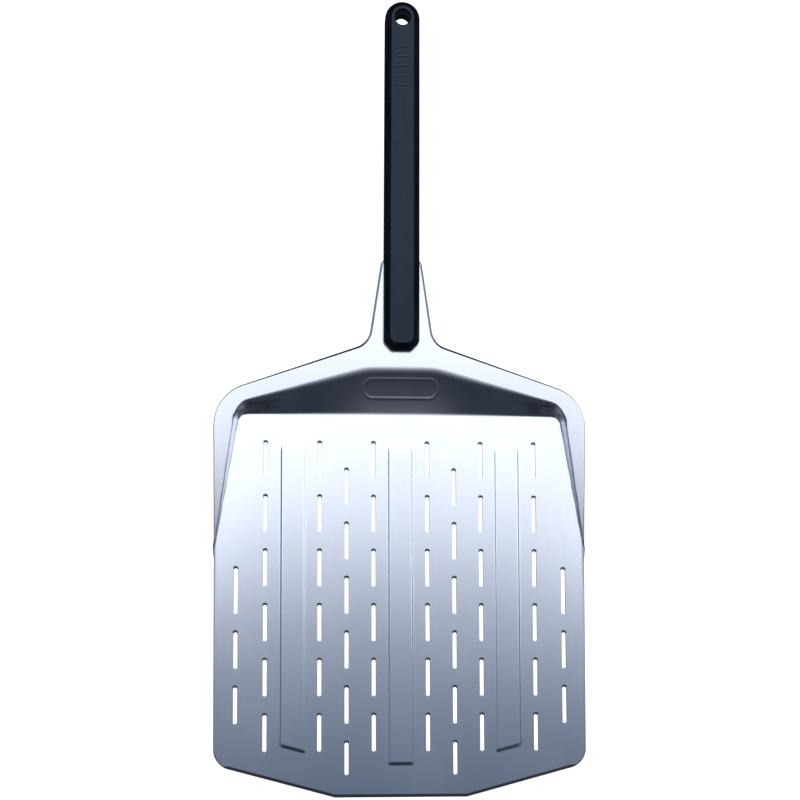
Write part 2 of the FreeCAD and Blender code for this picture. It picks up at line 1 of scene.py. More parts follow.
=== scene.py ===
# %% [markdown]
# # A pizza peel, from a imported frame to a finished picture
# The peel has two kinds of piece. The blade is one thin sheet of satin aluminium, cut and pressed.
# The handle is two halves of moulded plastic, screwed together over the tang of the sheet.
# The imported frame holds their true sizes. This lesson remakes the visible ones as fine meshes with
# numpy, because a pressed sheet needs soft bends and a moulding needs soft edges to look real.

# %% Load the frame
import math

import bpy
import numpy as np
from mathutils.geometry import delaunay_2d_cdt
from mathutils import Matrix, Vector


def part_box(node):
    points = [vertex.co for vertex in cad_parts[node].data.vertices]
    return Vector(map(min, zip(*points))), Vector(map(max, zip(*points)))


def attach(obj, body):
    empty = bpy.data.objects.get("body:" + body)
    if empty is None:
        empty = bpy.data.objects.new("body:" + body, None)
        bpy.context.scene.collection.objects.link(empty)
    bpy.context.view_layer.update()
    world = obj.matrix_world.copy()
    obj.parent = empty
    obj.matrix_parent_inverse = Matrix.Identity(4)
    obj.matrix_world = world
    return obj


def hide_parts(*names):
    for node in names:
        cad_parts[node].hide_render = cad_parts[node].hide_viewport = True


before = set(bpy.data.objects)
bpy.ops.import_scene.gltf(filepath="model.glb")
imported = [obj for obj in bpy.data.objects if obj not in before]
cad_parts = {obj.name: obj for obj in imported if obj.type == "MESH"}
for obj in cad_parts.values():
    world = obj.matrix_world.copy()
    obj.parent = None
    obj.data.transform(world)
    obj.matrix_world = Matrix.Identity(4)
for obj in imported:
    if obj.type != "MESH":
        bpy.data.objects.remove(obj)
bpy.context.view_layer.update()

# %% [markdown]
# All shapes below are worked out in millimetres, with y measured from the blade's front edge and z
# from the table. One function moves them into the frame, which is in metres, just before they
# become meshes. The front edge's place comes from the frame itself.

# %% Units and the way into the frame
MM = 0.001
FRONT_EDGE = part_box("blade")[0].y / MM


def into_frame(points):
    """Move points by the front edge's place along y, then turn millimetres into metres."""
    return (points + (0.0, FRONT_EDGE, 0.0)) * MM


print("front edge at", round(FRONT_EDGE, 1), "mm")

# %% [markdown]
# Three small formulas shape every bend. A straight ramp would leave a sharp crease, so each ramp
# starts and ends with a short parabola, which is how a sheet bends over a rounded tool.

# %% Formulas for soft bends


def soft_plus(x, e):
    """0 for x below -e, x for x above e, and the parabola (x + e)^2 / 4e between."""
    e = np.maximum(e, 1e-6)
    return np.where(x <= -e, 0.0, np.where(x >= e, x, (x + e) ** 2 / (4 * e)))


def soft_ramp(t, e_low, e_high):
    """A ramp from 0 to 1 as t goes from 0 to 1, its foot rounded over e_low and its top over e_high."""
    return 1.0 - soft_plus(1.0 - soft_plus(t, e_low), e_high)


def round_corner(a, b, radius):
    """The larger of two signed distances, with the corner where they are equal made a round one."""
    outside = np.hypot(np.maximum(a + radius, 0), np.maximum(b + radius, 0))
    return outside + np.minimum(np.maximum(a + radius, b + radius), 0) - radius


# %% [markdown]
# An outline is a polygon with an arc at each corner. A path keeps its points and, at each of them,
# the direction that points out of the material. The material is always on the left of the path, so
# an outer outline runs anticlockwise and a hole runs clockwise.

# %% Paths with rounded corners
WIDE_ARC = 8.0


def unit(v):
    """Vectors divided by their lengths."""
    return v / np.maximum(np.linalg.norm(v, axis=-1, keepdims=True), 1e-12)


def rounded_path(corners, radii, spacing, arc_step=4.0):
    """Points of a closed outline, and for each of them how it moves when the outline grows by 1.

    A point of an arc is its centre plus a spoke, turned evenly from one side to the next. A wide
    arc grows along its spokes. A tight one keeps its radius and moves as the mitre of its sides
    does. Points of a side share out the movements of its two ends evenly.
    """
    corners = np.asarray(corners, float)
    arcs, moves = [], []
    for corner, before, after, radius in zip(
            corners, np.roll(corners, 1, axis=0), np.roll(corners, -1, axis=0), radii):
        back, ahead = unit(before - corner), unit(after - corner)
        half = 0.5 * math.acos(np.clip(back @ ahead, -1, 1))
        turn = math.pi - 2 * half
        reach = radius / math.tan(half)
        centre = corner + unit(back + ahead) * radius / math.sin(half)
        first = (corner + back * reach - centre) / radius
        last = (corner + ahead * reach - centre) / radius
        t = np.linspace(0, 1, max(3, int(math.degrees(turn) / arc_step) + 2))[:, None]
        spoke = (np.sin((1 - t) * turn) * first + np.sin(t * turn) * last) / math.sin(turn)
        bulge = np.sign(ahead[0] * back[1] - ahead[1] * back[0])
        mitre = (first + last) / (1 + first @ last)
        arcs.append(centre + radius * spoke)
        moves.append(bulge * (spoke if radius > WIDE_ARC else np.repeat([mitre], len(t), axis=0)))
    points, growth = [], []
    for arc, move, next_arc, next_move in zip(arcs, moves, arcs[1:] + arcs[:1], moves[1:] + moves[:1]):
        length = np.linalg.norm(next_arc[0] - arc[-1])
        t = np.linspace(0, 1, int(length / spacing) + 2)[1:-1, None]
        points += [arc, arc[-1] + t * (next_arc[0] - arc[-1])]
        growth += [move, move[-1] + t * (next_move[0] - move[-1])]
    return np.concatenate(points), np.concatenate(growth)


def mirrored(half):
    """A closed outline from its right half, given from the front to the rear."""
    return half + [(-x, y) for x, y in reversed(half)]


# %% [markdown]
# A plate with holes could be made by a Boolean, but that leaves rough normals on every bend. Here
# the face is a net of triangles over chosen points, each lifted by a formula, so its
# normals are exact. Every edge is then a profile carried along its path: rounded, down the wall of
# the cut, and rounded again, so that face, edges and back are one closed skin.

# %% The skin of a plate


def inside(points, loops):
    """True where a line from the point to the right crosses the loops an odd number of times."""
    crossings = np.zeros(len(points), int)
    x, y = points[:, 0, None], points[:, 1, None]
    for loop in loops:
        a, b = loop, np.roll(loop, -1, axis=0)
        straddles = (a[:, 1] > y) != (b[:, 1] > y)
        rise = np.where(b[:, 1] == a[:, 1], 1.0, b[:, 1] - a[:, 1])
        at = a[:, 0] + (y - a[:, 1]) * (b[:, 0] - a[:, 0]) / rise
        crossings += (straddles & (x < at)).sum(axis=1)
    return crossings % 2 == 1


def net(points, loops, seams):
    """Triangles over the points that keep the loops' and seams' edges and leave out the holes."""
    starts = np.cumsum([0] + [len(loop) for loop in loops + seams])
    edges = []
    for start, loop in zip(starts, loops + seams):
        numbers = np.arange(len(loop))
        edges.append(np.stack([numbers, np.roll(numbers, -1)], axis=1) + start)
    edges = np.concatenate(edges)
    made = delaunay_2d_cdt(points.tolist(), edges.tolist(), [], 0, 1e-6, False)
    kept = np.array([tuple(v) for v in made[0]])
    if len(kept) != len(points) or not np.allclose(kept, points, atol=1e-4):
        raise ValueError("two points of the net coincide")
    triangles = np.array(made[2])
    a, b, c = (points[triangles[:, k]] for k in range(3))
    turn = (b[:, 0] - a[:, 0]) * (c[:, 1] - a[:, 1]) - (b[:, 1] - a[:, 1]) * (c[:, 0] - a[:, 0])
    triangles[turn < 0] = triangles[turn < 0][:, ::-1]
    return triangles[inside((a + b + c) / 3, loops)]


def face_normals(place, points, depth):
    """Across product of the steps that two tiny moves, along x and along y, make on the surface."""
    step = 0.02
    middle = place(points, depth)
    along_x = place(points + (step, 0.0), depth) - middle
    along_y = place(points + (0.0, step), depth) - middle
    return unit(np.cross(along_x, along_y))


def plate_skin(name, loops, seams, inner, place, gauge):
    """A closed mesh between a face and its back, with a profile carried along each edge.

    loops holds (path, outward, rows): a row is how far inside the path and how deep below the face
    each ring of the edge lies. Seams are closed lines the net must follow, inner its other points.
    place(points, depth) puts plan points into space. gauge(points) is the thickness at them.
    """
    rings = [path - outward * rows[:, :1, 0] for path, outward, rows in loops]
    plan = np.concatenate(rings + seams + [inner])
    triangles = net(plan, rings, seams)
    count = len(plan)
    thick = gauge(plan)
    vertices = [place(plan, np.zeros(count)), place(plan, thick)]
    edge = [np.zeros(2 * count)]
    normals = [face_normals(place, plan, 0.0), -face_normals(place, plan, 0.0)]
    faces = triangles.tolist() + (triangles[:, ::-1] + count).tolist()
    first, free = 0, 2 * count
    for path, outward, rows in loops:
        n, k = rows.shape[:2]
        across = path[:, None] - outward[:, None] * rows[..., :1]
        grid = place(across.reshape(-1, 2), rows[..., 1].reshape(-1)).reshape(n, k, 3)
        numbers = np.empty((n, k), int)
        numbers[:, 0] = np.arange(n) + first
        numbers[:, -1] = numbers[:, 0] + count
        numbers[:, 1:-1] = np.arange(n * (k - 2)).reshape(n, k - 2) + free
        down = unit(np.diff(grid, axis=1))
        down = unit(down[:, :-1] + down[:, 1:])
        along = unit(np.roll(grid, -1, axis=0) - np.roll(grid, 1, axis=0))[:, 1:-1]
        vertices.append(grid[:, 1:-1].reshape(-1, 3))
        normals.append(unit(np.cross(down, along)).reshape(-1, 3))
        edge.append(np.ones(n * (k - 2)))
        after = np.roll(numbers, -1, axis=0)
        quads = np.stack([numbers[:, :-1], numbers[:, 1:], after[:, 1:], after[:, :-1]], axis=-1)
        faces += quads.reshape(-1, 4).tolist()
        first, free = first + n, free + n * (k - 2)
    piece = new_piece(name, np.concatenate(vertices), faces, np.concatenate(normals))
    keep_values(piece, "edge", np.concatenate(edge))
    return piece, plan


def keep_values(piece, name, values):
    """Keep one number per vertex on the mesh, for its material to read."""
    layer = piece.data.attributes.new(name, "FLOAT", "POINT")
    layer.data.foreach_set("value", np.asarray(values, np.float32))


def new_piece(name, vertices, faces, normals=None):
    """A mesh object from vertices in millimetres, its shading taken from the given normals."""
    mesh = bpy.data.meshes.new(name)
    mesh.from_pydata(into_frame(vertices), [], faces)
    mesh.shade_smooth()
    if normals is not None:
        mesh.normals_split_custom_set_from_vertices(normals)
    mesh.validate(clean_customdata=False)
    piece = bpy.data.objects.new(name, mesh)
    bpy.context.scene.collection.objects.link(piece)
    print(name, len(mesh.vertices), "vertices,", len(mesh.polygons), "faces")
    return piece


# %% [markdown]
# ## The blade
# The real blade is cut from 2 mm sheet and pressed in one stroke. Its floor stays flat. Behind it
# a riser climbs to a rim that slopes up to the handle, steep at its ends and gentle in the middle.
# The side walls run forwards and fade out where the rim meets the floor.
# The whole face is one height over the plan, so it is written as one function of x and y.

# %% Sizes of the blade
GAUGE = 2.0
SLOPE = math.tan(math.radians(5.0))
BEND_Y = 223.5
FLOOR_REAR = 363.3
RISER_TOP = 402.9
FLOOR_CORNER = (153.2, FLOOR_REAR)
RIM_CORNER = (156.4, 367.4)
RISER_HALF_FLAT = 33.0
FADE = (181.4, 200.0)
RIB_HEIGHT = 1.2
RIB_WALL = 1.7
RIB_MIDDLES = (-102.0, 0.0, 102.0)
RIB_HALF = 11.9
FRONT_WALL, REAR_WALL = 1.1, 4.0
WALL_END, RISER_START = 350.0, 366.0
RING_MIDDLE, RING_HALF, RING_RADIUS, RING_RISE = 386.0, 27.0, 8.5, 0.15
RIB_REAR = 336.0
RIB_FRONTS = (44.7, 30.2, 44.7)
FRONT_SLANT = 0.268

# %% [markdown]
# The handle's sizes are needed already, because its screws pass through the sheet. Its length
# follows from the frame: the tip ends where the whole peel does.

# %% Sizes of the handle
GRIP_ROOT = 420.0
LEAN = math.radians(5.0)
HALF_DEPTH = 12.0
GRIP_BEVEL = 6.0
GRIP_LENGTH = (-2 * FRONT_EDGE - GRIP_ROOT - (HALF_DEPTH - GRIP_BEVEL) * math.sin(LEAN)) / math.cos(LEAN)
ROOT_HEIGHT = GAUGE + (GRIP_ROOT - BEND_Y) * SLOPE
NECK_END = (506.0 - GRIP_ROOT) / math.cos(LEAN) + 0.2
HOLE_RADIUS = 7.2
HOLE_MIDDLE = GRIP_LENGTH - 16.5
GRIP_OUTLINE = mirrored([(9.5, 0.0), (17.0, 8.0), (16.3, GRIP_LENGTH)])
SCREWS_AT = 24.0 + 60.0 * np.arange(5)
SEAT_RADIUS = 3.8
TANG_HOLE = 2.2

# %% [markdown]
# A few distances describe the pressing: how far a point is outside the floor, inside the rim and
# inside a rib. Soft ramps on those distances, added together, are the height of the face.

# %% The height of the face


def line_distance(x, y, start, end):
    """Distance to the right of the line from start to end."""
    (x0, y0), (x1, y1) = start, end
    length = math.hypot(x1 - x0, y1 - y0)
    return ((x - x0) * (y1 - y0) - (y - y0) * (x1 - x0)) / length


def pan_distances(x, y):
    """How far a point is outside the floor's outline, and how far inside the rim's inner outline."""
    x = np.abs(x)
    beyond_floor = round_corner(y - FLOOR_REAR, line_distance(x, y, FADE, FLOOR_CORNER), 7.5)
    shoulder = line_distance(x, y, RIM_CORNER, (RISER_HALF_FLAT, RISER_TOP))
    shoulder = (shoulder + y - RISER_TOP + np.hypot(shoulder - y + RISER_TOP, 1.5)) / 2
    beyond_rim = round_corner(shoulder, line_distance(x, y, FADE, RIM_CORNER), 12.0)
    return beyond_floor, -beyond_rim


def rib_distance(x, y, middle, front):
    """How far a point is inside a rib's outline, with the front counted slower and the rear slower yet."""
    side = np.abs(x - middle) - RIB_HALF
    slant = FRONT_SLANT * np.sign(middle)
    front_end = (front + slant * (x - middle) - y) / FRONT_WALL
    rear_end = (y - RIB_REAR) / REAR_WALL
    return -round_corner(side, np.maximum(front_end, rear_end), 2.5)


def ring_height(x, y):
    """A plain raised ring in the middle of the riser: the distance to a short line, held to a band."""
    away = np.hypot(x - np.clip(x, -RING_HALF, RING_HALF), y - RING_MIDDLE)
    inward = 1.6 - np.abs(away - RING_RADIUS)
    return RING_RISE * soft_ramp(inward / 0.9, 0.45, 0.45)


def face_height(x, y):
    """The rim's height times a soft ramp across the riser, plus a soft ramp at each rib's edge."""
    outside, short = pan_distances(x, y)
    width = np.maximum(outside + short, 0.6)
    riser = np.clip((y - WALL_END) / (RISER_START - WALL_END), 0, 1)
    foot = np.minimum(1.6 / width, 0.12 + 0.2 * riser)
    top = np.minimum(3.5 / width, 0.2 + 0.4 * riser)
    rim = soft_plus(y - BEND_Y, 12.0) * SLOPE
    height = rim * soft_ramp(outside / width, foot, top) + ring_height(x, y)
    for middle, front in zip(RIB_MIDDLES, RIB_FRONTS):
        inward = rib_distance(x, y, middle, front) / RIB_WALL
        height = height + RIB_HEIGHT * soft_ramp(inward, 0.45, 0.45)
    return height


def place_on_sheet(points, depth):
    """A plan point on the face, then moved along the face's normal, down by the given depth."""
    x, y = points[:, 0], points[:, 1]
    step = 0.02
    height = face_height(x, y)
    rise_x = (face_height(x + step, y) - face_height(x - step, y)) / (2 * step)
    rise_y = (face_height(x, y + step) - face_height(x, y - step)) / (2 * step)
    normal = unit(np.stack([-rise_x, -rise_y, np.ones(len(x))], axis=1))
    face = np.stack([x, y, height + GAUGE], axis=1)
    return face - normal * np.reshape(depth, (-1, 1))


print("riser", round(float(face_height(np.array([0.0]), np.array([RISER_TOP + 8]))[0]), 1), "mm high")

# %% [markdown]
# The slots let loose flour fall through. They are punched in columns, every second column set off
# by half a step, and the punch leaves a rounded lip on the face. All of them are one array of
# ends and middles, so the same few lines make every slot.

# %% Where the slots are
SLOT_RADIUS = 1.9
SLOT_LIP, REAR_LIP = 0.5, 2.4
SLOT_LENGTH = 34.0
PITCH_X, PITCH_Y = 25.6, 51.7
SLOT_REAR = 335.4
LAST_LENGTH = 30.0
OUTER_X, OUTER_START, OUTER_LENGTH = 155.5, 2.33, 43.0


def slot_table():
    """One row of x, rear end and length for each slot."""
    rows = []
    for side in (-1, 1):
        rows += [(side * k * PITCH_X, SLOT_REAR - i * PITCH_Y, SLOT_LENGTH)
                 for k in (1, 3, 5) for i in range(6)]
        rows += [(side * 2 * PITCH_X, SLOT_REAR - (i + 0.5) * PITCH_Y, SLOT_LENGTH) for i in range(5)]
        rows += [(side * 2 * PITCH_X, SLOT_REAR - 5.5 * PITCH_Y, LAST_LENGTH)]
        rows += [(side * OUTER_X, SLOT_REAR - OUTER_START * PITCH_Y, OUTER_LENGTH)]
        rows += [(side * OUTER_X, SLOT_REAR - (i + 3.5) * PITCH_Y, SLOT_LENGTH) for i in range(2)]
    return np.array(rows)


def slot_paths(table, steps=11):
    """Half a turn round each slot's front end, then half a turn round its rear end, clockwise."""
    t = np.linspace(0, math.pi, steps)
    spoke = np.concatenate([
        np.stack([np.cos(t), -np.sin(t)], axis=1),
        np.stack([-np.cos(t), np.sin(t)], axis=1),
    ])
    rear = table[:, 1] - SLOT_RADIUS
    front = table[:, 1] - table[:, 2] + SLOT_RADIUS
    middles = np.repeat(np.stack([front, rear], axis=1), steps, axis=1)
    x = table[:, :1] + SLOT_RADIUS * spoke[:, 0]
    y = middles + SLOT_RADIUS * spoke[:, 1]
    return np.stack([x, y], axis=2), -spoke


slots = slot_table()
print(len(slots), "slots")

# %% [markdown]
# The outline has round shoulders, a neck that narrows into the handle and a bevel ground along the
# front. The bevel is a plane, so it widens out of the corner's rounding. Three profiles do the
# edges: a small quarter round, a wider slope along the neck, and the bevel. Each is blended into the
# next along the path.

# %% The outline and the edge profiles
OUTLINE = mirrored([
    (62.0, 0.0), (175.5, 30.4), (177.0, 377.8), (31.1, 428.0), (19.1, 506.0), (9.0, 506.0), (9.0, 636.0)])
OUTLINE_RADII = (4.0, 19.0, 40.5, 19.0, 4.0, 1.5, 4.0)
EDGE_WIDTH, EDGE_DEPTH = 1.3, 1.3
NECK_EDGE_WIDTH, NECK_EDGE_DEPTH = 2.2, 1.6
BACK_ROUND = 0.35
BEVEL_WIDTH, BEVEL_DEPTH = 3.0, 1.2


def quarter_round(width, depth, steps=5):
    """Insets and depths of a quarter of an ellipse, from the face to the wall."""
    t = np.linspace(0, math.pi / 2, steps)
    return np.stack([width * (1 - np.sin(t)), depth * (1 - np.cos(t))], axis=1)


def wall_rows(top, bottom, depth):
    """A top profile, the same profile mirrored at the back, and the way back in to the first inset."""
    below = np.stack([bottom[::-1, 0], depth - bottom[::-1, 1]], axis=1)
    return np.concatenate([top, below, [[top[0, 0], depth]]])


def blend(one, other, share):
    """Two profiles mixed at each point of a path by the point's own share."""
    share = share[:, None, None]
    return one * (1 - share) + other * share


def circle(middle, radius, steps=48):
    """A clockwise circle and its spokes, which point into the hole."""
    t = -np.linspace(0, 2 * math.pi, steps, endpoint=False)
    spoke = np.stack([np.cos(t), np.sin(t)], axis=1)
    return np.array([0.0, middle]) + radius * spoke, -spoke


def outline_rows(path, outward):
    """The rounded edge, blended into a slope along the neck and the bevel where it faces the front."""
    back = quarter_round(BACK_ROUND, BACK_ROUND)
    plain = wall_rows(quarter_round(EDGE_WIDTH, EDGE_DEPTH, 7), back, GAUGE)
    u = np.array([0.0, 0.04, 0.35, 0.65, 0.94, 0.99, 1.0])
    sloping = wall_rows(np.stack([NECK_EDGE_WIDTH * (1 - u), NECK_EDGE_DEPTH * u], axis=1), back, GAUGE)
    plain = blend(plain, sloping, np.clip((path[:, 1] - 365.0) / 60.0, 0, 1))
    ground = np.stack([BEVEL_WIDTH * (1 - u), BEVEL_DEPTH * u], axis=1)
    ground[-1, 1] += 0.12
    return blend(plain, wall_rows(ground, back, GAUGE), np.clip((-outward[:, 1] - 0.86) / 0.1, 0, 1))


def slot_rows(inward):
    """A slight round along the slot, and a deep one at its rear end, where flour slides in."""
    back = quarter_round(0.25, 0.25, 3)
    slight = wall_rows(quarter_round(SLOT_LIP, SLOT_LIP, 7), back, GAUGE)
    deep = wall_rows(quarter_round(REAR_LIP, 1.7, 7), back, GAUGE)
    return blend(slight, deep, np.clip(-inward[:, 1], 0, 1) ** 0.7)


# %% [markdown]
# The net needs close points where the sheet bends and few where it is flat. So rings follow the
# riser, the ribs and the raised ring, and even rows of points fill what they leave.

# %% The blade's points and mesh


def riser_points():
    """Rings along the riser's foot and along its top, closest where the sheet bends."""
    foot = rounded_path(mirrored([FADE, FLOOR_CORNER]), (1, 8, 8, 1), 2.5)
    top_line = mirrored([FADE, RIM_CORNER, (RISER_HALF_FLAT, RISER_TOP)])
    top = rounded_path(top_line, (1, 12, 20, 20, 12, 1), 2.5)
    foot_steps = np.array([-1.8, -1.2, -0.7, -0.3, 0.1, 0.5, 0.9, 1.4, 2.0, 2.8, 4.0])
    top_steps = np.array([-4.5, -3.6, -2.8, -2.1, -1.4, -0.7, 0, 0.7, 1.4, 2.1, 2.8, 3.6, 4.5])
    rings = [path[:, None] + outward[:, None] * steps[:, None]
             for (path, outward), steps in ((foot, foot_steps), (top, top_steps))]
    return np.concatenate([ring.reshape(-1, 2) for ring in rings])


def ring_seams():
    """Rings along both walls of the raised ring on the riser."""
    t = np.linspace(0, math.pi, 24)
    half = np.stack([np.sin(t), -np.cos(t)], axis=1)
    spoke = np.concatenate([half, -half])
    middles = np.repeat([[RING_HALF, RING_MIDDLE], [-RING_HALF, RING_MIDDLE]], len(t), axis=0)
    steps = np.array([-2.2, -1.6, -1.2, -0.7, 0.0, 0.7, 1.2, 1.6, 2.2])
    return [middles + spoke * (RING_RADIUS + step) for step in steps]


def rib_seams():
    """Rings up each rib's wall. They are wider apart at the ends, where the wall is less steep."""
    seams = []
    for middle, front in zip(RIB_MIDDLES, RIB_FRONTS):
        slant = FRONT_SLANT * np.sign(middle)
        for inset in np.array([-0.55, -0.25, 0.0, 0.25, 0.5, 0.75, 1.0, 1.3, 1.6]) * RIB_WALL:
            half = RIB_HALF - inset
            low, high = front + FRONT_WALL * inset, RIB_REAR - REAR_WALL * inset
            corners = [(middle - half, low - slant * half), (middle + half, low + slant * half),
                       (middle + half, high), (middle - half, high)]
            seams.append(rounded_path(corners, (2.5, 2.5, 2.5, 2.5), 4.0, arc_step=10)[0])
    return seams


def fill_points(spacing=8.0):
    """An even spread of points over the plan, in staggered rows."""
    x, y = np.meshgrid(np.arange(-176, 177, spacing), np.arange(3, 640, spacing))
    x = x + (np.arange(len(x)) % 2)[:, None] * spacing / 2
    return np.stack([x.ravel(), y.ravel()], axis=1)


def clear_of(points, taken, gap):
    """The points that keep a gap from every taken one."""
    nearest = np.full(len(points), np.inf)
    for part in np.array_split(taken, max(1, len(taken) // 400)):
        away = np.hypot(points[:, :1] - part[:, 0], points[:, 1:] - part[:, 1])
        nearest = np.minimum(nearest, away.min(axis=1))
    return points[nearest > gap]


def thin_out(points, gap):
    """Drop all but one of the points that share a cell of a fine grid."""
    cells = np.round(points / gap).astype(int)
    kept = np.unique(cells, axis=0, return_index=True)[1]
    return points[np.sort(kept)]


def make_blade():
    """The pressed sheet with its slots, as one closed skin."""
    path, outward = rounded_path(OUTLINE, OUTLINE_RADII + OUTLINE_RADII[::-1], 5.0)
    loops = [(path, outward, outline_rows(path, outward))]
    paths, inward = slot_paths(slots)
    loops += [(slot, inward, slot_rows(inward)) for slot in paths]
    plain = wall_rows(quarter_round(0.2, 0.2, 3), quarter_round(0.2, 0.2, 3), GAUGE)
    for along in GRIP_ROOT + SCREWS_AT[:4] * math.cos(LEAN):
        ring, inward = circle(along, TANG_HOLE, 24)
        loops.append((ring, inward, np.repeat([plain], len(ring), axis=0)))
    seams = rib_seams() + ring_seams()
    shaped = thin_out(riser_points(), 0.3)
    inner = np.concatenate([shaped, clear_of(fill_points(), np.concatenate([shaped] + seams), 2.5)])
    rings = [ring - away * rows[:, :1, 0] for ring, away, rows in loops]
    inner = inner[inside(inner, rings)]
    inner = clear_of(inner, np.concatenate(rings), 1.2)
    return plate_skin(
        "blade_sheet", loops, seams, inner, place_on_sheet, lambda p: np.full(len(p), GAUGE))[0]


blade = make_blade()
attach(blade, "root")
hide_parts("blade")

# %% [markdown]
# ## The handle
# The two halves meet in the plane of the sheet and are bevelled all round their outer faces. They
# slope with the rim, so they are drawn flat, along the handle, and then leaned back.

# %% Leaning the handle
def along_handle(points, height):
    """Lean points of the handle back: y along it and height above the sheet's face turn together."""
    x, y = points[:, 0], points[:, 1]
    return np.stack([
        x,
        GRIP_ROOT + y * math.cos(LEAN) - height * math.sin(LEAN),
        ROOT_HEIGHT + y * math.sin(LEAN) + height * math.cos(LEAN),
    ], axis=1)


# %% [markdown]
# A moulding has no sharp edge. The bevel, the mouth of the hanging hole and the screws' seats are
# each one short profile, carried round its outline.

# %% Edges of the handle


def edge_rows(profile, depth):
    """A profile for each point of a path, its last rows moved to that point's own depth."""
    rows = np.repeat([profile], len(depth), axis=0)
    last = profile[:, 1] > HALF_DEPTH / 2 + 1
    rows[:, last, 1] += depth[:, None] - HALF_DEPTH
    return rows


def bevel_profile():
    """The bevel, softened at both ends, the side wall, and a small round at the parting line."""
    soft = 0.5
    start = np.array([[GRIP_BEVEL + soft, 0.0], [GRIP_BEVEL + 0.1, 0.03], [GRIP_BEVEL - soft * 0.6, 0.38]])
    end = np.array([[soft * 0.75, GRIP_BEVEL - 0.5], [0.12, GRIP_BEVEL + 0.15], [0.0, GRIP_BEVEL + 0.6]])
    parting = quarter_round(0.25, 0.25, 4)[::-1] * (1, -1) + (0, HALF_DEPTH)
    return np.concatenate([start, end, parting, [[GRIP_BEVEL + soft, HALF_DEPTH]]])


def hole_profile(lip=0.8):
    """A small bevel at the mouth of the hole and its wall, straight through."""
    mouth = np.array([[lip + 0.3, 0.0], [lip, 0.04], [lip * 0.5, lip * 0.5], [0.03, lip], [0.0, lip + 0.3]])
    return np.concatenate([mouth, [[0.0, HALF_DEPTH - 0.2], [0.2, HALF_DEPTH], [lip + 0.3, HALF_DEPTH]]])


def seat_profile():
    """A screw's seat: a rounded mouth, a wall down to the seat and the narrower hole below it."""
    seat = 3.2
    mouth = quarter_round(0.4, 0.4, 4)
    below = [[0.0, seat - 0.15], [-0.15, seat], [-1.45, seat], [-1.6, seat + 0.15], [-1.6, HALF_DEPTH],
             [0.4, HALF_DEPTH]]
    return np.concatenate([mouth, below])


# %% [markdown]
# The front face carries a few plain raised bars near the tip, where a thumb rests. They are a soft
# ramp on the distance inside a row of rounded boxes, added to the flat face.

# %% The raised bars
BAR_HALF, BAR_LENGTH, BAR_PITCH, BAR_RISE = 6.0, 3.0, 9.0, 0.4
BAR_MIDDLES = GRIP_LENGTH - 42.0 - BAR_LENGTH / 2 - BAR_PITCH * np.arange(5)


def bar_relief(points):
    """The rise of the face over the bars: a soft ramp from each bar's outline inwards."""
    away = np.abs(points[:, 1, None] - BAR_MIDDLES).min(axis=1) - BAR_LENGTH / 2
    inward = -round_corner(np.abs(points[:, 0]) - BAR_HALF, away, 0.6)
    return BAR_RISE * soft_ramp(inward / 0.5, 0.4, 0.4)


def bar_seams():
    """Rings along each bar's outline, closest across its edge."""
    seams = []
    for middle in BAR_MIDDLES:
        low, high = middle - BAR_LENGTH / 2, middle + BAR_LENGTH / 2
        corners = [(-BAR_HALF, low), (BAR_HALF, low), (BAR_HALF, high), (-BAR_HALF, high)]
        path, outward = rounded_path(corners, (0.6,) * 4, 2.0, arc_step=20)
        seams += [path - outward * inset for inset in (-0.3, 0.0, 0.25, 0.5, 0.8)]
    return seams


# %% [markdown]
# Both halves come from one function. The back half is the front one mirrored through the sheet,
# without the bars and with five screw seats. Each is thinner where the neck lies between them.

# %% The two halves


def half_fill(spacing=7.0):
    """Points down the middle of the face."""
    x, y = np.meshgrid(np.linspace(-8, 8, 4), np.arange(12, GRIP_LENGTH - 8, spacing))
    return np.stack([x.ravel(), y.ravel()], axis=1)


def make_half(name, side, depth_at_neck, depth_beyond, holes, relief, seams):
    """One half of the handle. side is 1 for the front and -1 for the back."""

    def depth_at(points):
        """How thick the half is: less where it lies on the neck of the sheet."""
        return np.where(points[:, 1] < NECK_END, depth_at_neck, depth_beyond)

    def place(points, depth):
        """The outer face, raised by the relief, less the depth, on its own side of the sheet."""
        flat = points * (side, 1.0)
        return along_handle(flat, side * (HALF_DEPTH + relief(points) - depth))

    path, outward = rounded_path(GRIP_OUTLINE, (5.5, 6.0, 16.2, 16.2, 6.0, 5.5), 6.0)
    loops = [(path, outward, edge_rows(bevel_profile(), depth_at(path)))]
    for middle, radius, profile in holes:
        ring, inward = circle(middle, radius)
        loops.append((ring, inward, edge_rows(profile, depth_at(ring))))
    inner = half_fill()
    if seams:
        inner = clear_of(inner, np.concatenate(seams), 2.0)
    for ring, inward, rows in loops:
        inner = clear_of(inner, ring - inward * rows[:, :1, 0], 1.0)
    inner = inner[inside(inner, [ring - inward * rows[:, :1, 0] for ring, inward, rows in loops])]
    piece, plan = plate_skin(name, loops, seams, inner, place, depth_at)
    # The bars' share of the relief is kept on the mesh as "raised", so the nylon can paint a highlight over
    # the bars.
    raised = np.zeros(len(piece.data.vertices))
    raised[:len(plan)] = relief(plan) / BAR_RISE
    keep_values(piece, "raised", raised)
    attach(piece, "root")
    return piece


hang_hole = (HOLE_MIDDLE, HOLE_RADIUS, hole_profile())
seats = [(middle, SEAT_RADIUS, seat_profile()) for middle in SCREWS_AT]
front_half = make_half("grip_front", 1, HALF_DEPTH, HALF_DEPTH + 1.0, [hang_hole], bar_relief, bar_seams())
back_half = make_half("grip_back", -1, HALF_DEPTH - GAUGE, HALF_DEPTH - 1.0, [hang_hole] + seats,
                      lambda p: np.zeros(len(p)), [])
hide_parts("handle_front")
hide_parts("handle_back")

# %% [markdown]
# ## The screws
# Five pan-head screws clamp the halves. A head is a profile turned about its axis, and its socket is
# the same turning with a radius that follows a hexagon: the distance to a flat, over the cosine of
# the angle from the middle of that flat.

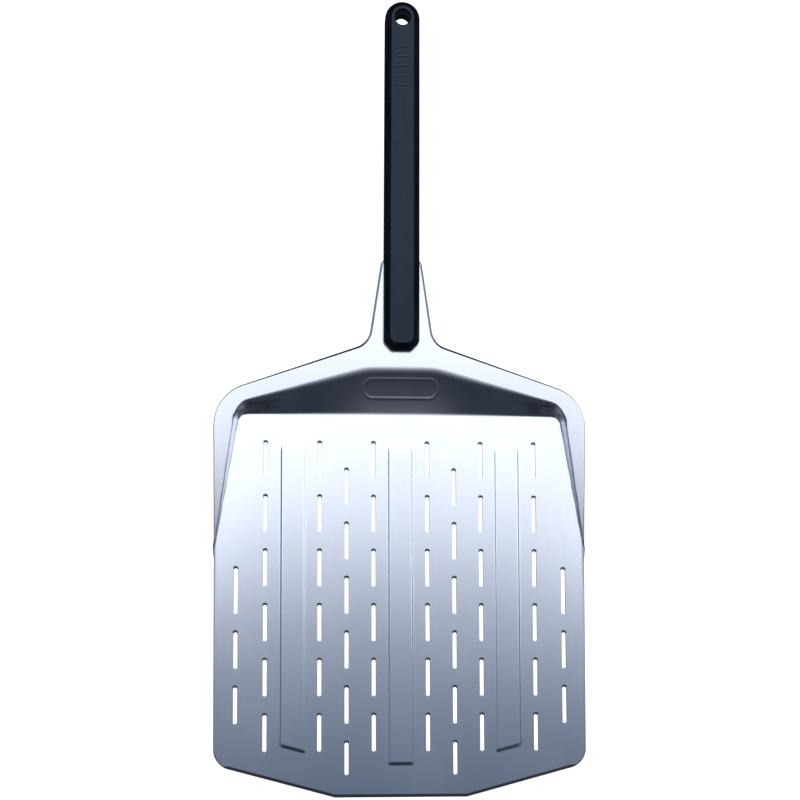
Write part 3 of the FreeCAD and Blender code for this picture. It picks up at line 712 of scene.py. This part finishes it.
# %% Sizes and shape of a screw
HEAD_RADIUS, HEAD_HEIGHT = 3.5, 2.6
SHANK_RADIUS, SHANK_LENGTH = 2.0, 14.0
HEX_FLAT, HEX_DEPTH = 1.25, 1.5
HEAD_SEAT = 0.6 + HEAD_HEIGHT - HALF_DEPTH


def screw_skin(name, along, steps=72):
    """Rings from the socket's floor, out over the head and down the shank, closed by two fans.

    A ring's radius is the profile's, mixed with the hexagon's by the profile's own share.
    """
    t = np.linspace(0, 2 * math.pi, steps, endpoint=False)
    hexagon = HEX_FLAT / np.cos((t + math.pi / 6) % (math.pi / 3) - math.pi / 6)
    turn = np.linspace(0, math.pi / 2, 7)
    dome = [(HEAD_RADIUS - 1.1 + 1.1 * math.sin(a), -HEAD_HEIGHT + 1.1 * (1 - math.cos(a)), 0) for a in turn]
    profile = np.array(
        [(1.0, HEX_DEPTH - HEAD_HEIGHT, 1), (1.0, 0.15 - HEAD_HEIGHT, 1), (1.12, -HEAD_HEIGHT, 1)]
        + dome + [(HEAD_RADIUS, -0.2, 0), (HEAD_RADIUS - 0.2, 0.0, 0), (SHANK_RADIUS, 0.0, 0)]
        + [(SHANK_RADIUS, SHANK_LENGTH - 0.5, 0), (SHANK_RADIUS - 0.5, SHANK_LENGTH, 0)])
    size, height, share = (column[:, None] for column in profile.T)
    radius = np.where(share > 0, size * hexagon, size)
    x, y = radius * np.cos(t), radius * np.sin(t) + along
    rings = along_handle(np.stack([x.ravel(), y.ravel()], axis=1), (height + HEAD_SEAT + 0 * x).ravel())
    ends = along_handle(np.array([[0, along], [0, along]]), HEAD_SEAT + profile[[0, -1], 1])
    numbers = np.arange(len(profile) * steps).reshape(len(profile), steps)
    after = np.roll(numbers, -1, axis=1)
    quads = np.stack([numbers[:-1], numbers[1:], after[1:], after[:-1]], axis=-1).reshape(-1, 4)
    fans = np.concatenate([
        np.stack([np.full(steps, numbers.size), numbers[0], after[0]], axis=1),
        np.stack([np.full(steps, numbers.size + 1), after[-1], numbers[-1]], axis=1),
    ])
    piece = new_piece(name, np.concatenate([rings, ends]), quads.tolist() + fans.tolist())
    piece.data.set_sharp_from_angle(angle=math.radians(35))
    rubbed = np.zeros(len(profile))
    rubbed[2:6] = 1
    keep_values(piece, "edge", np.append(np.repeat(rubbed, steps), (0, 0)))
    return piece


screws = []
for number, along in enumerate(SCREWS_AT, start=1):
    screw = screw_skin(f"screw_{number}", along)
    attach(screw, "root")
    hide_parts(f"clamp_screw_{number}")
    screws.append(screw)

# %% [markdown]
# ## Finishes
# Every finish is built from the same few effects, kept as node groups. An effect only makes a
# number; each material decides what the number does to its own colour, roughness or bump.

# %% Effects shared by the finishes


def new_group(name, inputs):
    """An empty node group with float inputs, one float output called Value and its two end nodes."""
    group = bpy.data.node_groups.new(name, "ShaderNodeTree")
    group.interface.new_socket("Vector", in_out="INPUT", socket_type="NodeSocketVector")
    for label, default in inputs:
        socket = group.interface.new_socket(label, in_out="INPUT", socket_type="NodeSocketFloat")
        socket.default_value = default
    group.interface.new_socket("Value", in_out="OUTPUT", socket_type="NodeSocketFloat")
    return group, group.nodes.new("NodeGroupInput"), group.nodes.new("NodeGroupOutput")


def add_node(tree, kind, settings=(), **inputs):
    """A node with its settings made and its inputs set to numbers or linked to sockets."""
    node = tree.nodes.new("ShaderNode" + kind)
    for key, setting in dict(settings).items():
        setattr(node, key, setting)
    for key, source in inputs.items():
        socket = node.inputs[int(key[1:])] if key[0] == "i" and key[1:].isdigit() else node.inputs[key]
        if isinstance(source, bpy.types.NodeSocket):
            tree.links.new(source, socket)
        else:
            socket.default_value = source
    return node


def stretched_noise():
    """Noise on a stretched copy of the coordinates, spread from Low to High."""
    group, given, out = new_group("stretched_noise", (
        ("Scale", 100.0), ("Across", 1.0), ("Along", 1.0), ("Detail", 3.0), ("Low", 0.0), ("High", 1.0)))
    scale = add_node(group, "CombineXYZ", X=given.outputs["Across"], Y=given.outputs["Along"],
                     Z=given.outputs["Across"])
    stretched = add_node(group, "VectorMath", {"operation": "MULTIPLY"},
                         i0=given.outputs["Vector"], i1=scale.outputs[0])
    noise = add_node(group, "TexNoise", Vector=stretched.outputs[0], Scale=given.outputs["Scale"],
                     Detail=given.outputs["Detail"])
    spread = add_node(group, "MapRange", {"interpolation_type": "SMOOTHSTEP"}, i0=noise.outputs["Fac"],
                      i1=0.3, i2=0.7, i3=given.outputs["Low"], i4=given.outputs["High"])
    group.links.new(spread.outputs[0], out.inputs["Value"])
    return group


def worn_edge():
    """The mesh's own edge mark, broken up by noise and held back by Amount."""
    group, given, out = new_group("worn_edge", (("Scale", 300.0), ("Amount", 0.5)))
    edge = add_node(group, "Attribute", {"attribute_name": "edge"})
    noise = add_node(group, "TexNoise", Vector=given.outputs["Vector"], Scale=given.outputs["Scale"])
    patches = add_node(group, "MapRange", i0=noise.outputs["Fac"], i1=0.4, i2=0.62)
    both = add_node(group, "Math", {"operation": "MULTIPLY"}, i0=edge.outputs["Fac"], i1=patches.outputs[0])
    held = add_node(group, "Math", {"operation": "MULTIPLY"}, i0=both.outputs[0], i1=given.outputs["Amount"])
    group.links.new(held.outputs[0], out.inputs["Value"])
    return group


def fine_dust():
    """Specks where fine noise is high, kept to large soft patches."""
    group, given, out = new_group("fine_dust", (("Specks", 900.0), ("Patches", 12.0), ("Amount", 0.3)))
    specks = add_node(group, "TexNoise", Vector=given.outputs["Vector"], Scale=given.outputs["Specks"])
    patches = add_node(group, "TexNoise", Vector=given.outputs["Vector"], Scale=given.outputs["Patches"])
    high = add_node(group, "MapRange", i0=specks.outputs["Fac"], i1=0.6, i2=0.75)
    soft = add_node(group, "MapRange", i0=patches.outputs["Fac"], i1=0.4, i2=0.7)
    both = add_node(group, "Math", {"operation": "MULTIPLY"}, i0=high.outputs[0], i1=soft.outputs[0])
    held = add_node(group, "Math", {"operation": "MULTIPLY"}, i0=both.outputs[0], i1=given.outputs["Amount"])
    group.links.new(held.outputs[0], out.inputs["Value"])
    return group


NOISE, EDGE, DUST = stretched_noise(), worn_edge(), fine_dust()


def effect(tree, group, place, **inputs):
    """One use of an effect in a material, with that material's own values."""
    node = tree.nodes.new("ShaderNodeGroup")
    node.node_tree = group
    tree.links.new(place, node.inputs["Vector"])
    for key, number in inputs.items():
        node.inputs[key].default_value = number
    return node.outputs["Value"]


def mixed(tree, share, one, other):
    """One colour turned into another by a share."""
    node = add_node(tree, "Mix", {"data_type": "RGBA"}, i0=share)
    for socket, colour in ((node.inputs[6], one), (node.inputs[7], other)):
        if isinstance(colour, bpy.types.NodeSocket):
            tree.links.new(colour, socket)
        else:
            socket.default_value = (*colour, 1.0)
    return node.outputs[2]


def new_finish(name, **constants):
    """A node material: its tree, its shader with the constants set, and the object's coordinates."""
    material = bpy.data.materials.new(name)
    material.use_nodes = True
    tree = material.node_tree
    shader = tree.nodes["Principled BSDF"]
    for key, number in constants.items():
        shader.inputs[key.replace("_", " ")].default_value = number
    return material, tree, shader, tree.nodes.new("ShaderNodeTexCoord").outputs["Object"]


def finish(tree, shader, colour, roughness, height, strength, distance=0.0001):
    """Feed a colour, a roughness and a small bump into the shader."""
    bump = add_node(tree, "Bump", Height=height, Strength=strength, Distance=distance)
    tree.links.new(colour, shader.inputs["Base Color"])
    tree.links.new(roughness, shader.inputs["Roughness"])
    tree.links.new(bump.outputs["Normal"], shader.inputs["Normal"])


# %% [markdown]
# The sheet is rolled along its length, then blasted and anodised clear. What is left is a satin metal
# with the faintest grain along y, a cloudy change of roughness from handling, and brighter rubbed
# edges round the cuts, where the punch and the grinder went through the finish.

# %% Satin aluminium
satin, tree, shader, place = new_finish("satin_aluminium", Metallic=1.0)
grain = effect(tree, NOISE, place, Scale=700.0, Across=1.0, Along=0.06, Detail=4.0)
haze = effect(tree, NOISE, place, Scale=9.0, Across=1.0, Along=0.6, Detail=4.0, Low=0.225, High=0.275)
rubbed = effect(tree, EDGE, place, Scale=400.0, Amount=0.35)
flour = effect(tree, DUST, place, Specks=1500.0, Patches=18.0, Amount=0.05)
colour = mixed(tree, grain, (0.794, 0.819, 0.889), (0.806, 0.831, 0.901))
colour = mixed(tree, rubbed, colour, (0.88, 0.90, 0.93))
colour = mixed(tree, flour, colour, (0.93, 0.92, 0.90))
finish(tree, shader, colour, haze, grain, 0.015)

# %% [markdown]
# The handle is glass-filled nylon. The mould was etched, so its surface is a fine even texture, and
# the glass shows as a slow mottling of tone. Edges that a hand rubs are a little smoother and paler.
# The raised bars are painted paler, a painted highlight where their relief would catch the light.

# %% Moulded nylon
nylon, tree, shader, place = new_finish("moulded_nylon", Specular_IOR_Level=0.5)
shader.inputs["Specular Tint"].default_value = (0.52, 0.68, 0.98, 1.0)
texture = effect(tree, NOISE, place, Scale=1400.0, Detail=2.0)
mottle = effect(tree, NOISE, place, Scale=120.0, Along=0.4, Detail=5.0)
sheen = effect(tree, NOISE, place, Scale=30.0, Along=0.5, Detail=3.0, Low=0.32, High=0.38)
rubbed = effect(tree, EDGE, place, Scale=150.0, Amount=0.25)
dust = effect(tree, DUST, place, Specks=1100.0, Patches=40.0, Amount=0.06)
# Painted highlight: the raised bars, walls and tops alike, are made paler as if they caught the light.
raised = add_node(tree, "Attribute", {"attribute_name": "raised"}).outputs["Fac"]
colour = mixed(tree, mottle, (0.0012, 0.0015, 0.0024), (0.0042, 0.0048, 0.0075))
colour = mixed(tree, raised, colour, (0.020, 0.023, 0.032))
colour = mixed(tree, rubbed, colour, (0.006, 0.006, 0.007))
colour = mixed(tree, dust, colour, (0.20, 0.20, 0.19))
finish(tree, shader, colour, sheen, texture, 0.12)

# %% [markdown]
# The screws are plain stainless steel, turned, so their grain runs round the head and is fine enough
# to read as a change of roughness. The inserts are knurled brass, dull where the nylon held them.

# %% Steel and brass
steel, tree, shader, place = new_finish("stainless_steel", Metallic=1.0)
turned = effect(tree, NOISE, place, Scale=900.0, Detail=3.0)
tone = effect(tree, NOISE, place, Scale=250.0, Detail=2.0, Low=0.24, High=0.36)
rubbed = effect(tree, EDGE, place, Scale=700.0, Amount=0.5)
colour = mixed(tree, turned, (0.50, 0.50, 0.51), (0.60, 0.60, 0.61))
colour = mixed(tree, rubbed, colour, (0.74, 0.74, 0.75))
finish(tree, shader, colour, tone, turned, 0.08)

brass, tree, shader, place = new_finish("insert_brass", Metallic=1.0)
knurl = effect(tree, NOISE, place, Scale=1200.0, Along=0.3, Detail=2.0)
dull = effect(tree, NOISE, place, Scale=300.0, Detail=3.0, Low=0.3, High=0.5)
colour = mixed(tree, dull, (0.76, 0.56, 0.26), (0.50, 0.36, 0.16))
finish(tree, shader, colour, dull, knurl, 0.2)

# %% [markdown]
# The new pieces take their finishes here. The inserts keep the frame's own meshes, because they are
# hidden inside the handle, and only their material is changed.

# %% Each finish on its pieces
finishes = [(blade, satin), (front_half, nylon), (back_half, nylon)] + [(screw, steel) for screw in screws]
for piece, material in finishes:
    piece.data.materials.append(material)
for name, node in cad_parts.items():
    if name.startswith("threaded_insert"):
        node.data.materials.clear()
        node.data.materials.append(brass)

# %% [markdown]
# ## The stage
# The peel lies on a plain pale table. The table gives off light of its own, so it stays pale all
# over, and it is left out of reflections, so the handle's black bevels stay black.

# %% The table
TABLE_REACH = 6.0
corners = [(x * TABLE_REACH, y * TABLE_REACH, 0) for x, y in ((-1, -1), (1, -1), (1, 1), (-1, 1))]
floor_mesh = bpy.data.meshes.new("table_top")
floor_mesh.from_pydata(corners, [], [(0, 1, 2, 3)])
floor = bpy.data.objects.new("table_top", floor_mesh)
bpy.context.scene.collection.objects.link(floor)
white, tree, shader, place = new_finish("pale_table", Specular_IOR_Level=0.0, Emission_Strength=0.9)
paper = effect(tree, NOISE, place, Scale=40.0, Detail=3.0)
finish(tree, shader, mixed(tree, paper, (0.80, 0.80, 0.80), (0.84, 0.84, 0.84)),
       effect(tree, NOISE, place, Scale=20.0, Low=0.85, High=0.95), paper, 0.02)
shader.inputs["Emission Color"].default_value = (1, 1, 1, 1)
floor.visible_glossy = False
floor_mesh.materials.append(white)

# %% [markdown]
# Satin metal shows what it faces, so the lights are large and soft. One wide panel hangs over the
# peel and fades towards the front, which turns the flat floor from pale to dark. Two weak panels
# low in front show the blade from behind, and two small ones overhead light the rim's outer strips.

# %% The lights


def area_light(name, place, turn, size, power, colour=(1, 1, 1)):
    """A soft rectangular light. Turned by angles in degrees from facing straight down."""
    data = bpy.data.lights.new(name, "AREA")
    data.shape = "RECTANGLE"
    data.size, data.size_y = size
    data.energy = power
    data.color = colour
    light = bpy.data.objects.new(name, data)
    light.location = place
    light.rotation_euler = [math.radians(a) for a in turn]
    light.visible_camera = False
    bpy.context.scene.collection.objects.link(light)
    return light


def curve_between(tree, source, points):
    """A curve node through the given points, fed from a socket."""
    node = tree.nodes.new("ShaderNodeFloatCurve")
    curve = node.mapping.curves[0]
    curve.points[0].location, curve.points[1].location = points[0], points[-1]
    for point in points[1:-1]:
        curve.points.new(*point)
    node.mapping.update()
    tree.links.new(source, node.inputs["Value"])
    return node.outputs[0]


softbox = area_light("softbox", (0.5, 0.35, 0.9), (0, 0, 0), (3.0, 1.8), 19.5, (1.0, 0.985, 0.96))
for word, side in (("right", 1), ("left", -1)):
    area_light(f"fill_{word}", (side * 1.9, -2.2, 0.95), (71.9, 0, side * 40.8), (1.6, 0.8), 1.4)
area_light("strip_right", (0.87, -0.03, 0.88), (0, 0, 0), (1.07, 0.18), 0.27)
area_light("strip_left", (-0.51, -0.03, 0.88), (0, 0, 0), (0.59, 0.18), 0.15)

softbox.data.use_nodes = True
tree = softbox.data.node_tree
geometry = add_node(tree, "NewGeometry")
parts = add_node(tree, "SeparateXYZ", i0=geometry.outputs["Parametric"])
fade = curve_between(tree, parts.outputs["Y"], [
    (0.0, 0.0), (0.083, 0.03), (0.167, 0.11), (0.25, 0.33), (0.306, 0.66), (0.35, 0.92), (0.42, 1.0),
    (1.0, 1.0)])
tree.links.new(fade, tree.nodes["Emission"].inputs["Strength"])

# %% [markdown]
# The sky is bluish, and its strength changes with direction. It is dark low down and in front, which
# is what the riser mirrors. The pale backdrop is seen by the camera only and lights nothing.

# %% The sky
world = bpy.data.worlds.new("studio")
bpy.context.scene.world = world
world.use_nodes = True
tree = world.node_tree
sky = tree.nodes["Background"]
sky.inputs["Color"].default_value = (0.5, 0.68, 1.0, 1)
direction = add_node(tree, "TexCoord")
parts = add_node(tree, "SeparateXYZ", i0=direction.outputs["Generated"])
rear = add_node(tree, "MapRange", i0=parts.outputs["Y"], i1=-1.0)
along = curve_between(tree, rear.outputs["Result"], [
    (0.0, 0.07), (0.36, 0.07), (0.46, 0.2), (0.5, 0.24), (0.64, 0.43), (0.8, 0.43), (0.92, 0.03),
    (1.0, 0.02)])
upward = curve_between(tree, parts.outputs["Z"], [
    (0.0, 0.02), (0.08, 0.02), (0.45, 1.0), (1.0, 1.0)])
product = add_node(tree, "Math", {"operation": "MULTIPLY"}, i0=along, i1=upward)
tree.links.new(product.outputs[0], sky.inputs["Strength"])
backdrop = add_node(tree, "Background", Color=(0.9, 0.9, 0.9, 1.0), Strength=1.0)
seen = add_node(tree, "MixShader", i0=add_node(tree, "LightPath").outputs["Is Camera Ray"],
                i1=sky.outputs[0], i2=backdrop.outputs[0])
tree.links.new(seen.outputs[0], tree.nodes["World Output"].inputs["Surface"])

# %% [markdown]
# The camera looks almost straight down from above the front part of the blade, a little left of the
# middle. Its view is shifted rather than turned, so the handle fits in without leaning away.

# %% The camera
camera_data = bpy.data.cameras.new("camera")
camera = bpy.data.objects.new("camera", camera_data)
bpy.context.scene.collection.objects.link(camera)
camera.location = (-0.083, -0.2719, 1.25)
camera.rotation_euler = [math.radians(a) for a in (4.484, -3.423, -0.145)]
camera_data.lens = 59.55
camera_data.shift_x = 0.0099
camera_data.shift_y = 0.231
camera_data.clip_start = 0.05
bpy.context.scene.camera = camera
bpy.context.scene.view_settings.view_transform = "Standard"
